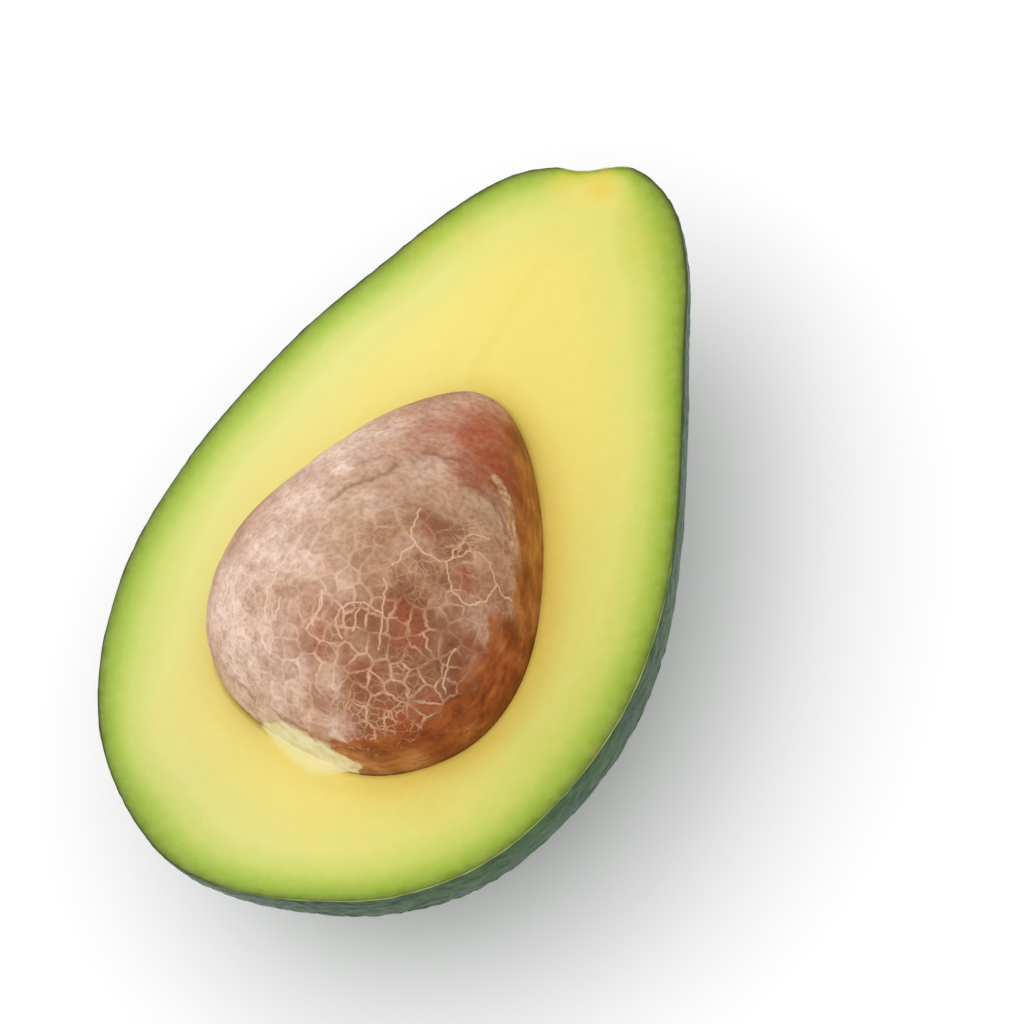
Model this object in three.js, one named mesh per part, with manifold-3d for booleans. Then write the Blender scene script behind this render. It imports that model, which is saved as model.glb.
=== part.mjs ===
// Half an avocado, cut lengthwise through the stem scar, with its seed left in place.
// Three pieces: the peel, the flesh and the seed.
// Shapes are drawn in millimetres with the cut face at z = 0, +Z out of the cut and +Y towards the
// stem end. The group then lifts them so that the origin is the middle of the small flat spot on
// the belly that the half rests on.

import * as THREE from 'three';
import { mergeVertices } from 'three/addons/utils/BufferGeometryUtils.js';
import Module from 'manifold-3d';

const wasm = await Module();
wasm.setup();

// Outline of the cut face, peel included. Each side runs from the blossom end to the stem scar,
// and the two sides have the same number of points, so that they pair up across the fruit.
const blossomEnd = [-1, -49.9];
const rightSide = [
  [10, -47.6], [20, -43.2], [28.4, -35.3], [33.7, -24], [35.8, -11.5], [34.8, 1],
  [31.2, 13.5], [26.3, 25.5], [21.4, 36.5], [16.8, 46.9], [11, 54.8], [3.6, 58.3],
];
const leftSide = [
  [-11, -49], [-20.7, -43.4], [-28, -35.5], [-33, -25], [-35.3, -12.5], [-34.5, 0.5],
  [-31.8, 12.5], [-27.7, 24.5], [-22.3, 35.5], [-17.3, 45], [-12.2, 51.8], [-7, 55.1],
];
const stemScar = [-2.8, 55.9];

const depthRatio = 0.82;       // depth of the half over its half-width at the same station
const neckFullness = 0.15;     // how much deeper the neck end is than that ratio gives
const halfLength = 54;         // reach over which neckFullness builds up

const peelThickness = 1;
const fitGap = 0.3;            // clearance between pieces that touch in the real fruit
const restSpot = { x: 0, y: -2.4, rise: 0.35 };   // rise: how much of the belly the flat spot takes

const seed = {
  x: 0.7, y: -4.3,             // middle of the seed on the cut face
  lean: 1.4,                   // degrees that its long axis leans to the left of +Y
  halfLength: 26.1, halfWidth: 19.9, halfHeight: 20.3,
  taper: 0.39,                 // how much narrower it grows towards its pointed end
};

const bodySteps = { around: 48, along: 34 };
const seedSteps = { around: 32, along: 22 };

// A unit sphere whose poles are on the Y axis, as one closed mesh of shared vertices.
function closedSphere(steps) {
  const sphere = new THREE.SphereGeometry(1, steps.around, steps.along);
  sphere.deleteAttribute('normal');
  sphere.deleteAttribute('uv');
  return mergeVertices(sphere, 1e-5);
}

// Moves every vertex of a geometry to the place that shape(point) returns for it.
function reshape(geometry, shape) {
  const position = geometry.getAttribute('position');
  const point = new THREE.Vector3();
  for (let i = 0; i < position.count; i += 1) {
    point.fromBufferAttribute(position, i);
    position.setXYZ(i, ...shape(point));
  }
  geometry.computeVertexNormals();
  return geometry;
}

// The same surface moved outwards along its normals, or inwards when distance is negative.
function offset(geometry, distance) {
  const moved = geometry.clone();
  const position = moved.getAttribute('position');
  const normal = moved.getAttribute('normal');
  for (let i = 0; i < position.count; i += 1) {
    position.setXYZ(
      i,
      position.getX(i) + normal.getX(i) * distance,
      position.getY(i) + normal.getY(i) * distance,
      position.getZ(i) + normal.getZ(i) * distance,
    );
  }
  return moved;
}

const outline = new THREE.CatmullRomCurve3(
  [blossomEnd, ...rightSide, stemScar, ...[...leftSide].reverse()].map(([x, y]) => new THREE.Vector3(x, y, 0)),
  true,
  'catmullrom',
  0.5,
);

// The whole fruit: the two sides of the outline are joined round the long axis by half ellipses.
function fruitPoint(onSphere) {
  const along = 1 - Math.acos(THREE.MathUtils.clamp(onSphere.y, -1, 1)) / Math.PI;
  const right = outline.getPoint(along / 2);
  const left = outline.getPoint((2 - along) / 2 % 1);
  const middle = right.clone().add(left).multiplyScalar(0.5);
  const half = right.clone().sub(left).multiplyScalar(0.5);
  const radius = Math.hypot(onSphere.x, onSphere.z) || 1;
  const across = onSphere.x / radius;
  const up = onSphere.z / radius;
  const fullness = 1 + neckFullness * middle.y / halfLength;
  return [
    middle.x + half.x * across,
    middle.y + half.y * across,
    depthRatio * fullness * half.x * up,
  ];
}

// The seed is an egg that narrows towards its pointed end and leans a little.
function seedPoint(onSphere) {
  const width = 1 - seed.taper * onSphere.y;
  const across = seed.halfWidth * onSphere.x * width;
  const along = seed.halfLength * onSphere.y;
  const lean = THREE.MathUtils.degToRad(seed.lean);
  return [
    seed.x + across * Math.cos(lean) - along * Math.sin(lean),
    seed.y + across * Math.sin(lean) + along * Math.cos(lean),
    seed.halfHeight * onSphere.z * width,
  ];
}

function toSolid(geometry) {
  return new wasm.Manifold(new wasm.Mesh({
    numProp: 3,
    vertProperties: new Float32Array(geometry.getAttribute('position').array),
    triVerts: new Uint32Array(geometry.index.array),
  }));
}

function toGeometry(solid) {
  const mesh = solid.getMesh();
  const geometry = new THREE.BufferGeometry();
  geometry.setAttribute('position', new THREE.BufferAttribute(new Float32Array(mesh.vertProperties), 3));
  geometry.setIndex(new THREE.BufferAttribute(new Uint32Array(mesh.triVerts), 1));
  geometry.computeVertexNormals();
  return geometry;
}

// A block that spans the fruit and lies between two heights.
function slab(low, high) {
  const size = 6 * halfLength;
  const block = new THREE.BoxGeometry(size, size, high - low);
  block.translate(0, 0, (low + high) / 2);
  block.deleteAttribute('normal');
  block.deleteAttribute('uv');
  return toSolid(mergeVertices(block));
}

const fruitSurface = reshape(closedSphere(bodySteps), fruitPoint);
const seedSurface = reshape(closedSphere(seedSteps), seedPoint);
fruitSurface.computeBoundingBox();

const restHeight = fruitSurface.boundingBox.min.z + restSpot.rise;
const lowerHalf = slab(restHeight, 0);

function makePeel() {
  const outside = toSolid(fruitSurface);
  const inside = toSolid(offset(fruitSurface, -peelThickness));
  return outside.subtract(inside).intersect(lowerHalf);
}

function makeFlesh() {
  const body = toSolid(offset(fruitSurface, -peelThickness - fitGap));
  const seedHollow = toSolid(offset(seedSurface, fitGap));
  return body.intersect(lowerHalf).subtract(seedHollow);
}

function makeSeed() {
  return toSolid(seedSurface);
}

function piece(name, solid, color, roughness) {
  const material = new THREE.MeshStandardMaterial({ color, roughness, metalness: 0 });
  const mesh = new THREE.Mesh(toGeometry(solid), material);
  mesh.name = name;
  return mesh;
}

const avocadoHalf = new THREE.Group();
avocadoHalf.position.set(-restSpot.x, -restSpot.y, -restHeight);
avocadoHalf.add(
  piece('skin', makePeel(), '#2f4a2a', 0.45),
  piece('flesh', makeFlesh(), '#e9e07c', 0.4),
  piece('seed', makeSeed(), '#93603f', 0.55),
);

export default avocadoHalf;
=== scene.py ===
import math

import bmesh
import bpy
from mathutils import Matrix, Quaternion, Vector, noise
from mathutils.bvhtree import BVHTree
from mathutils.kdtree import KDTree


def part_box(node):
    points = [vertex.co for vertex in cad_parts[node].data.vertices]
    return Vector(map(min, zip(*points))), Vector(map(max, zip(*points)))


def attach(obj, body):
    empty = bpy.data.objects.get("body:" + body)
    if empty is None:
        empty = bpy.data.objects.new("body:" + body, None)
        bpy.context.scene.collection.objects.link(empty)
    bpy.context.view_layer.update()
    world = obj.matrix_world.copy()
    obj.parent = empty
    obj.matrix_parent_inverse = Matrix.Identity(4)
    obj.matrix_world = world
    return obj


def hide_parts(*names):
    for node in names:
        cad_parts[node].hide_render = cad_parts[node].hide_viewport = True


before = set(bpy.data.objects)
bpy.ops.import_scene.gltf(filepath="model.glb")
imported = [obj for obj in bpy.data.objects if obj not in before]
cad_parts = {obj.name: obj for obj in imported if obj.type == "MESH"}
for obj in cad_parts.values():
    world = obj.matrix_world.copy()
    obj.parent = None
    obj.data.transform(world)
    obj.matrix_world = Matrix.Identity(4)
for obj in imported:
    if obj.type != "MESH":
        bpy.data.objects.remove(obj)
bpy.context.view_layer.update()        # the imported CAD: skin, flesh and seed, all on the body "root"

mm = 0.001
scene = bpy.context.scene

# Shapes are worked out in millimetres with the cut face at z = 0 and the stem end along +Y,
# as the CAD draws them. place() then lifts them onto the floor.
fruit = {
    "blossomEnd": (-1, -49.9),
    "rightSide": [
        (10, -47.6), (20, -43.2), (28.4, -35.3), (33.7, -24), (35.8, -11.5), (34.8, 1),
        (31.2, 13.5), (26.3, 25.5), (21.4, 36.5), (16.8, 46.9), (11, 54.8), (3.6, 58.3),
    ],
    "leftSide": [
        (-11, -49), (-20.7, -43.4), (-28, -35.5), (-33, -25), (-35.3, -12.5), (-34.5, 0.5),
        (-31.8, 12.5), (-27.7, 24.5), (-22.3, 35.5), (-17.3, 45), (-12.2, 51.8), (-7, 55.1),
    ],
    "stemScar": (-2.8, 55.9),
    "depthRatio": 0.82,      # depth of the half over its half-width at the same station
    "neckFullness": 0.15,    # how much deeper the neck end is than that ratio gives
    "halfLength": 54,
    "restShift": 2.4,        # the flat spot sits this far towards the blossom end
    "noiseSeed": 11,         # the wandering patterns come out the same on each run
}
noise.seed_set(fruit["noiseSeed"])
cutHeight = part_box("flesh")[1].z / mm

print("frame loaded, cut face at", round(cutHeight, 2), "mm")


def hexColour(code):
    # sRGB hex to linear RGBA
    channels = [int(code[i:i + 2], 16) / 255 for i in (1, 3, 5)]
    return [c / 12.92 if c <= 0.04045 else ((c + 0.055) / 1.055) ** 2.4 for c in channels] + [1]


colourMix = {"output": 2, "data_type": "RGBA"}       # what addNode is told for a mix of two colours


def addNode(tree, kind, inputs=None, output=0, stops=None, **settings):
    # Adds a node with its settings and links, and returns one of its outputs. Inputs go by name,
    # or by number where names repeat: in a colour mix 0 is the share and 6 and 7 the colours,
    # in MapRange 1 and 2 are the range that comes in and 3 and 4 the range that goes out.
    node = tree.nodes.new("ShaderNode" + kind)
    for name, value in settings.items():
        setattr(node, name, value)
    for i, (spot, code) in enumerate(sorted(stops or [])):
        elements = node.color_ramp.elements
        element = elements[0] if i == 0 else elements.new(spot)
        element.position = spot
        element.color = hexColour(code)
        if i == 0:
            elements.remove(elements[1])
    for socket, value in (inputs or {}).items():
        if isinstance(value, bpy.types.NodeSocket):
            tree.links.new(value, node.inputs[socket])
        else:
            node.inputs[socket].default_value = value
    return node.outputs[output] if node.outputs else node


def newMaterial(name):
    material = bpy.data.materials.new(name)
    material.use_nodes = True
    material.node_tree.nodes.clear()
    return material, material.node_tree


def ease(low, high, value):
    # 0 below low, 1 above high, smooth between; falls instead when high is under low
    share = max(0, min(1, (value - low) / (high - low)))
    return share * share * (3 - 2 * share)


def alongPairs(pairs, value):
    # straight-line reading of a list of (value, result) pairs
    for (a, low), (b, high) in zip(pairs, pairs[1:]):
        if value <= b:
            return low + (high - low) * max(0, value - a) / (b - a)
    return pairs[-1][1]


def wash(spots, x, y):
    # strength at a place of a colour dabbed on at (x, y) with a reach in mm
    share = 0
    for spotX, spotY, reach, strength in spots:
        away = ((x - spotX) ** 2 + (y - spotY) ** 2) / (reach * reach)
        share = max(share, strength * math.exp(-1.2 * away))
    return share


def place(point):
    return Vector((point.x, point.y + fruit["restShift"], point.z + cutHeight)) * mm


def edgeGap(distances, centres):
    # true distance from a point to the nearest wall between two voronoi cells
    apart = (centres[1] - centres[0]).length
    return (distances[1] ** 2 - distances[0] ** 2) / (2 * max(apart, 1e-6))


def finishPiece(bm, name, node, material):
    mesh = bpy.data.meshes.new(name)
    bm.to_mesh(mesh)
    bm.free()
    mesh.shade_smooth()
    mesh.materials.append(material)
    piece = bpy.data.objects.new(name, mesh)
    scene.collection.objects.link(piece)
    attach(piece, "root")
    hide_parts(node)
    print(name, "has", sum(len(p.vertices) - 2 for p in mesh.polygons), "triangles")


# the outline of the cut, once round from the blossom end
outlinePoints = [Vector(p) for p in (
    [fruit["blossomEnd"]] + fruit["rightSide"] + [fruit["stemScar"]] + fruit["leftSide"][::-1]
)]


def outlineAt(share):
    # closed Catmull-Rom curve through the outline's points, as in the CAD
    count = len(outlinePoints)
    reach = (share % 1) * count
    first = int(reach)
    w = reach - first
    a, b, c, d = [outlinePoints[(first + i) % count] for i in (-1, 0, 1, 2)]
    return 0.5 * (2 * b + (c - a) * w + (2 * a - 5 * b + 4 * c - d) * w ** 2
                  + (3 * b - a - 3 * c + d) * w ** 3)


def station(along):
    # middle, half-width and depth of the half at a share of the way to the stem end
    right = outlineAt(along / 2)
    left = outlineAt((2 - along) / 2)
    middle = (right + left) / 2
    half = (right - left) / 2
    fullness = 1 + fruit["neckFullness"] * middle.y / fruit["halfLength"]
    return middle, half, fruit["depthRatio"] * fullness * half.x


def bodyPoint(spot, angle):
    # angle 0 is the right edge of the cut, 180 degrees the left edge, between them the belly
    middle, half, depth = spot
    across = math.cos(angle)
    return Vector((middle.x + half.x * across, middle.y + half.y * across, -depth * math.sin(angle)))


def bodyNormal(spots, angle):
    before, here, after = spots
    around = bodyPoint(here, angle + 0.01) - bodyPoint(here, angle - 0.01)
    lengthways = bodyPoint(after, angle) - bodyPoint(before, angle)
    return around.cross(lengthways).normalized()


# the leathery outer skin
peel = {
    "outerColumns": 212,
    "innerColumns": 40,
    "rings": 340,
    "rimProfile": [(0.12, 0.0), (0.03, 0.04), (0.0, 0.13)],   # inset and drop of the cut's outer edge
    "lipWidth": 0.26,        # the dark outer skin that shows at the cut, as far as the flesh
    "lipDrop": 0.03,
    "wall": 0.9,
    "calmRim": 11,           # mm under the cut over which the relief dies down
    "calmLeast": 0.4,        # the share of the relief that is left at the cut
    "swell": (14, 0.22),     # size and height in mm of the slow swellings
    "pebble": (2.9, 0.31),   # size and height in mm, as for the grain
    "pebbleWarp": (1.3, 0.35),               # size and strength, in pebbles, of their wandering
    "pebbleFade": (9, 0.45), # size in mm and strength of the slow change in their height
    "valley": 0.42,          # how far a pebble's slope reaches, as a share of its size
    "grain": (1.3, 0.09),
    "poreGap": 4.2,          # mm between the dark pores
    "poreRadius": 0.45,
    "poreDepth": 0.16,
    "poreFrom": -0.3,        # the cell noise, -1 to 1, above which a pore is there at all
    "lengthStretch": 0.72,   # pebbles are longer along the fruit than across
    "scarAt": (-2.8, 56.4, 0),
    "scarRadius": 2.7,
    "scarEdge": (1.2, 0.5, 0.4),             # size, height and softness in mm of its ragged edge
    "highlightNotch": (-1.2, 56.6, 5.2, 1.6),     # x, y, reach, softness in mm: the stem end's painted highlight along the cut edge
    "highlightSide": (20, 40),    # where the painted highlight along the lower right edge sets in, in mm
    "tipShare": 0.0015,      # the end rings stay this share of the length short of the tips
    "sideStep": 0.0012,      # share of the length between the stations that a normal is taken from
}


def peelRelief(point):
    # height above the smooth fruit in mm, how high on a pebble the spot is, and how much of a pore
    calm = peel["calmLeast"] + (1 - peel["calmLeast"]) * ease(0, peel["calmRim"], -point.z)
    size, height = peel["swell"]
    lift = height * noise.noise(point / size)
    stretched = Vector((point.x, point.y * peel["lengthStretch"], point.z))
    size, height = peel["pebble"]
    warpSize, warp = peel["pebbleWarp"]
    warped = stretched / size + warp * noise.noise_vector(stretched / (size * warpSize))
    distances, centres = noise.voronoi(warped)
    gap = edgeGap(distances, centres)
    pebble = ease(0, peel["valley"], gap)
    fadeSize, fade = peel["pebbleFade"]
    strength = 1 - fade + fade * noise.noise(point / fadeSize + Vector((7, 1, 3)))
    size, grainHeight = peel["grain"]
    ridge = 1 - abs(noise.noise(stretched / size))
    lift += height * strength * (pebble - 0.5) + grainHeight * (ridge - 0.75) * 2
    distances, centres = noise.voronoi(point / peel["poreGap"] + Vector((3, 5, 8)))
    reach = distances[0] * peel["poreGap"]
    wanted = noise.cell(centres[0] * 37.3) > peel["poreFrom"]
    pore = ease(peel["poreRadius"] * 1.6, peel["poreRadius"] * 0.5, reach) if wanted else 0
    return calm * (lift - pore * peel["poreDepth"]), 1 - calm * (1 - pebble), pore * calm


def peelPlace(ring, column, stations):
    # where a vertex of the sphere goes, with the pebble, the pore and how far through the cut it is
    rings, outer, inner = peel["rings"], peel["outerColumns"], peel["innerColumns"]
    spots = stations[ring]
    depth = spots[1][2]
    outward = column <= outer
    if outward:
        profile = peel["rimProfile"]
        fromRim = min(column, outer - column)
        inset, drop = profile[min(fromRim, len(profile) - 1)]
        angle = math.asin(min(drop / max(depth, 0.01), 0.4))
        if fromRim >= len(profile):
            steps = fromRim - len(profile) + 1
            angle += (math.pi - 2 * angle) * steps / (outer - 2 * len(profile) + 2)
        angle = angle if column <= outer / 2 else math.pi - angle
    else:
        step = column - outer - 1
        last = inner - 2
        angle = math.pi * (1 - step / last)
        inset = peel["lipWidth"]
        if 0 < step < last:
            # the wall runs out into the lip at both ends of the fruit
            inset += (peel["wall"] - inset) * ease(0.3, 5, spots[1][1].x)
    base = bodyPoint(spots[1], angle)
    normal = bodyNormal(spots, angle)
    if outward:
        lift, pebble, pore = peelRelief(base)
        point = base + normal * (lift - inset)
        through = min(1, inset / peel["rimProfile"][0][0])
    else:
        point = base - normal * inset
        pebble, pore, through = 0, 0, 1
        if step in (0, last):
            point.z -= peel["lipDrop"]
    point.z = max(point.z, -cutHeight)
    return point, pebble, pore, through


def makePeel(material):
    rings = peel["rings"]
    columns = peel["outerColumns"] + peel["innerColumns"]
    stations = []
    for ring in range(rings + 1):
        along = max(peel["tipShare"], min(1 - peel["tipShare"], ring / rings))
        stations.append([station(along + side * peel["sideStep"]) for side in (-1, 0, 1)])
    bm = bmesh.new()
    bmesh.ops.create_uvsphere(bm, u_segments=columns, v_segments=rings, radius=1)
    layers = {name: bm.verts.layers.float.new(name)
              for name in ("pebble", "pore", "through", "scar", "rimHighlight")}
    scarAt = Vector(peel["scarAt"])
    raggedSize, ragged, soft = peel["scarEdge"]
    notchX, notchY, notchReach, notchSoft = peel["highlightNotch"]
    midLip = Vector((0, peel["lipWidth"] / 2, -0.02))
    for vertex in bm.verts:
        x, y, z = vertex.co
        ring = round(math.acos(max(-1, min(1, -z))) / math.pi * rings)
        column = round(math.atan2(y, x) / math.tau * columns) % columns
        point, pebble, pore, through = peelPlace(ring, column, stations)
        if ring == 0:
            point = Vector(fruit["blossomEnd"]).to_3d() + midLip
        if ring == rings:
            point = Vector(fruit["stemScar"]).to_3d() + midLip * Vector((0, -1, 1))
        vertex.co = place(point)
        away = (point - scarAt).length + ragged * noise.noise(point / raggedSize)
        fromNotch = math.hypot(point.x - notchX, point.y - notchY)
        # a pale painted highlight along the cut edge, round the stem end's notch and down the lower
        # right
        lowerRight = ease(*peel["highlightSide"], point.x - 0.6 * point.y)
        lowerRight *= 0.7 + 0.5 * noise.noise(point / 3)
        scar = ease(peel["scarRadius"] + soft, peel["scarRadius"] - soft, away)
        vertex[layers["pebble"]] = pebble
        vertex[layers["pore"]] = pore
        vertex[layers["through"]] = through
        vertex[layers["scar"]] = scar * ease(-0.5, -1, point.z)
        vertex[layers["rimHighlight"]] = ease(-0.5, -0.2, point.z) * max(
            ease(notchReach, notchReach - notchSoft, fromNotch), through * lowerRight)
    bmesh.ops.recalc_face_normals(bm, faces=bm.faces)
    innerWall = BVHTree.FromBMesh(bm)        # the flesh is cast against it
    finishPiece(bm, "avocadoPeel", "skin", material)
    return innerWall


# Avocado peel, grown: a thin waxy leather. It gives the eye a dark green with slow patches of
# yellow and blue green, pebbles that catch soft highlights, and near-black pores.
# The pale line along parts of the cut edge is a painted highlight.
def peelMaterial():
    material, tree = newMaterial("waxy pebbled avocado peel")
    here = addNode(tree, "TexCoord", output=3)
    layer = {name: addNode(tree, "Attribute", attribute_name=name, output=2)
             for name in ("pebble", "pore", "through", "scar", "rimHighlight")}
    patches = addNode(tree, "TexNoise", {"Vector": here, "Scale": 1 / (11 * mm), "Detail": 3})
    colour = addNode(tree, "ValToRGB", {"Fac": patches}, stops=[
        (0.3, "#16342A"), (0.5, "#214127"), (0.72, "#345520"),
    ])
    mottle = addNode(tree, "TexNoise", {"Vector": here, "Scale": 1 / (1.6 * mm), "Detail": 4})
    mottleShade = addNode(tree, "MapRange", {"Value": mottle, 1: 0.35, 2: 0.7, 3: 0.0, 4: 0.4})
    # painted shade: the valleys between the pebbles are darkened
    valley = addNode(tree, "MapRange", {"Value": layer["pebble"], 1: 0.0, 2: 0.8, 3: 0.4, 4: 0.0})
    cut = addNode(tree, "MapRange", {"Value": layer["through"], 1: 0.3, 2: 0.9, 3: 0.0, 4: 1.0})
    overlays = (
        (mottleShade, "#4A6F3C"), (valley, "#1B3016"), (layer["pore"], "#12190C"), (cut, "#4F5426"),
        # painted highlight: a pale line along the cut edge
        (layer["rimHighlight"], "#B4C070"),
    )
    for share, code in overlays:
        colour = addNode(tree, "Mix", {0: share, 6: colour, 7: hexColour(code)}, **colourMix)
    cork = addNode(tree, "ValToRGB", {"Fac": mottle}, stops=[
        (0.35, "#5B3A22"), (0.6, "#93704A"),
    ])
    colour = addNode(tree, "Mix", {0: layer["scar"], 6: colour, 7: cork}, **colourMix)
    fine = addNode(tree, "TexNoise", {"Vector": here, "Scale": 1 / (0.5 * mm), "Detail": 3})
    rough = addNode(tree, "MapRange", {"Value": fine, 1: 0.3, 2: 0.7, 3: 0.3, 4: 0.48})
    # the pebbles shade a little more strongly than their height alone would do in the soft light
    relief = addNode(tree, "Math", {0: layer["pebble"], 1: 4.0, 2: fine}, operation="MULTIPLY_ADD")
    bump = addNode(tree, "Bump", {"Strength": 0.6, "Distance": 0.07 * mm, "Height": relief})
    shader = addNode(tree, "BsdfPrincipled", {
        "Base Color": colour, "Roughness": rough, "Normal": bump, "IOR": 1.42,
        "Specular IOR Level": 0.24,
    })
    addNode(tree, "OutputMaterial", {"Surface": shader})
    return material


# the seed's shape, which the hollow in the flesh follows
seed = {
    "centre": (0.7, -4.3),
    "lean": 1.4,             # degrees to the left of +Y
    "halfLength": 26.1,
    "halfWidth": 19.9,
    "halfHeight": 20.3,
    "taper": 0.39,
    "heel": [                # bearing, spread in degrees, mm that the edge swells
        (-72, 17, 0.8), (-110, 14, -0.6), (-6, 42, -0.68), (-47, 13, 0.3),
    ],
    "heelFade": 0.4,         # share of the half height over which the heel dies down
}


def seedPoint(unit):
    # bearing runs round the seed from its right side, 90 at the pointed end
    width = 1 - seed["taper"] * unit.y
    across = seed["halfWidth"] * unit.x * width
    along = seed["halfLength"] * unit.y
    reach = math.hypot(across, along)
    bearing = math.degrees(math.atan2(along, across))
    swell = sum(height * math.exp(-((bearing - at) / spread) ** 2)
                for at, spread, height in seed["heel"])
    grow = 1 + swell * math.exp(-(unit.z / seed["heelFade"]) ** 2) / max(reach, 5)
    lean = math.radians(seed["lean"])
    return Vector((
        seed["centre"][0] + (across * math.cos(lean) - along * math.sin(lean)) * grow,
        seed["centre"][1] + (across * math.sin(lean) + along * math.cos(lean)) * grow,
        seed["halfHeight"] * unit.z * width,
    ))


def seedLocal(point):
    # the same point along the seed's own axes
    lean = math.radians(seed["lean"])
    dx, dy = point.x - seed["centre"][0], point.y - seed["centre"][1]
    return Vector((dx * math.cos(lean) + dy * math.sin(lean),
                   dy * math.cos(lean) - dx * math.sin(lean), point.z))


def onSeed(x, y):
    # the point of the seed's upper side over a place along its own axes
    along = y / seed["halfLength"]
    across = x / (seed["halfWidth"] * (1 - seed["taper"] * along))
    size = math.hypot(along, across)
    if size > 1:
        along, across = along / size, across / size
    return seedPoint(Vector((across, along, math.sqrt(max(0, 1 - along * along - across * across)))))


# the flesh: its hollow under the seed, its cut face and the side that meets the peel
flesh = {
    "columns": 760,
    "hollowRings": 12,
    "lipRings": 4,
    "faceRings": 66,
    "wallRings": 16,
    "gap": [                 # bearing, mm between the seed and the flesh round it
        (-180, -0.05), (-110, -0.05), (-104, -0.3), (-86, -0.3), (-82, -0.05), (-79, 0.08),
        (-66, 0.06), (-50, 0.02), (-10, 0.02), (20, -0.05), (180, -0.05),
    ],
    "lipRadius": 0.08,
    "fillet": [              # bearing, width in mm of the pale tissue drawn up against the seed
        (-180, 0), (-111, 0), (-104, 0.8), (-96, 1.5), (-90, 1.9), (-85, 1.3), (-80, 0), (180, 0),
    ],
    "filletHeight": 1.2,
    "overlap": 0.07,         # how far the flesh lies over the cut edge of the peel
    "peelGap": 0.06,         # mm between the flesh's side and the inner wall of the peel
    "undulation": (19, 0.14),                # size and height in mm, as for the ripple
    "ripple": (3.5, 0.02),
    "crowding": 0.35,        # how much closer the rings of the cut face lie near the seed
    "castHeight": -0.05,
    "rimSamples": 2600,      # points along the outline that the green bands are measured from
    "bands": [               # mm from the peel and the colour there
        (0, "#4F601F"), (0.5, "#738A2C"), (1.2, "#91AB38"), (2.3, "#AAC04D"), (4, "#C9D36F"),
        (7, "#E0DD88"), (14, "#EEDF84"),
    ],
    "bandDepth": 18,
    "stains": [              # x, y, reach in mm and strength of the warm marks
        (-4.1, 53.6, 2.4, 0.8), (0.6, 54.6, 2.4, 1), (-1.6, 54.6, 2, 0.7), (-13.6, 42.5, 3, 0.3),
        (-18.8, 40.1, 3, 0.25), (9.3, 48.3, 3, 0.3), (4.4, 53, 1.6, 0.4), (-19.9, -10.9, 2, 0.45),
        (-16.5, -16.5, 2.2, 0.35), (13.4, -32, 3, 0.2), (18.5, -31.6, 2.5, 0.25),
    ],
    "streak": [(-1.6, 42), (-2.7, 38.4), (-3.0, 33), (-3.6, 28.2), (-3.1, 23.8)],
    "streakLook": (0.3, 1.6, 0.22),          # wander and reach in mm, and strength
    "wideGreen": [           # x, y, reach in mm and how much wider the green band is there
        (10, 50, 13, 0.32), (-32, -16, 20, 0.24), (-28, 14, 20, 0.08), (-8, -46, 16, 0.15),
        (35, -20, 14, 0.26),
    ],
    "shade": [(-14, -38, 20, 0.5)],          # painted shade: where the cut face is made a little duller and darker, as if less lit
    "yellowNotch": [(-1.2, 55.5, 4.5, 2.5)],
}


def castToWall(source, direction, innerWall):
    start = place(source)
    hit = innerWall.ray_cast(start, direction)[0]
    return source + direction * ((hit - start).length / mm)


def fleshColumn(around, innerWall):
    # everything that the vertices of one column share
    edge = seedPoint(Vector((math.cos(around), math.sin(around), 0)))
    centre = Vector((seed["centre"][0], seed["centre"][1], 0))
    heading = (edge - centre).normalized()
    bearing = math.degrees(math.atan2(heading.y, heading.x)) - seed["lean"]
    source = Vector((centre.x, centre.y, flesh["castHeight"]))
    rim = (castToWall(source, heading, innerWall) - source).length + flesh["overlap"]
    return {
        "around": around, "edge": edge, "centre": centre, "heading": heading, "source": source,
        "rim": rim, "seedEdge": (edge - centre).length,
        "gap": alongPairs(flesh["gap"], bearing),
        "fillet": alongPairs(flesh["fillet"], bearing),
    }


def fleshPlace(level, column, innerWall):
    hollow, lip, face, wall = (flesh[k] for k in ("hollowRings", "lipRings", "faceRings", "wallRings"))
    edge, centre, heading, gap = (column[k] for k in ("edge", "centre", "heading", "gap"))
    radius = flesh["lipRadius"] + gap * 0.5
    if level <= hollow:
        latitude = -math.pi / 2 * (1 - level / hollow) - math.asin(radius / seed["halfHeight"])
        latitude = max(latitude, -math.pi / 2)
        unit = Vector((math.cos(column["around"]) * math.cos(latitude),
                       math.sin(column["around"]) * math.cos(latitude), math.sin(latitude)))
        point = seedPoint(unit)
        return point + (point - centre).normalized() * gap
    if level <= hollow + lip:
        turn = (level - hollow) / lip * math.pi / 2
        away = gap + radius * (1 - math.cos(turn))
        point = edge + heading * away
        point.z = -radius * (1 - math.sin(turn)) + filletLift(away, column)
        return point
    start = column["seedEdge"] + gap + radius
    if level <= hollow + lip + face:
        share = (level - hollow - lip) / face
        share = flesh["crowding"] * share * share + (1 - flesh["crowding"]) * share
        away = start + (column["rim"] - start) * share
        point = centre + heading * away
        size, height = flesh["undulation"]
        fade = ease(0, 2.5, column["rim"] - away) * ease(0, 2, away - start)
        point.z = height * noise.noise(point / size) * fade
        size, height = flesh["ripple"]
        point.z += height * noise.noise(point / size) * fade
        point.z += filletLift(away - column["seedEdge"], column)
        return point
    share = (level - hollow - lip - face) / wall
    turn = math.pi / 2 * share
    direction = heading * math.cos(turn) - Vector((0, 0, math.sin(turn)))
    hit = castToWall(column["source"], direction, innerWall)
    return hit - direction * flesh["peelGap"]


def filletLift(away, column):
    # the flesh climbs the seed where the two tore apart
    if column["fillet"] <= 0:
        return 0
    share = max(0, 1 - max(0, away) / column["fillet"])
    return flesh["filletHeight"] * share * share * min(1, column["fillet"])


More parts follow.
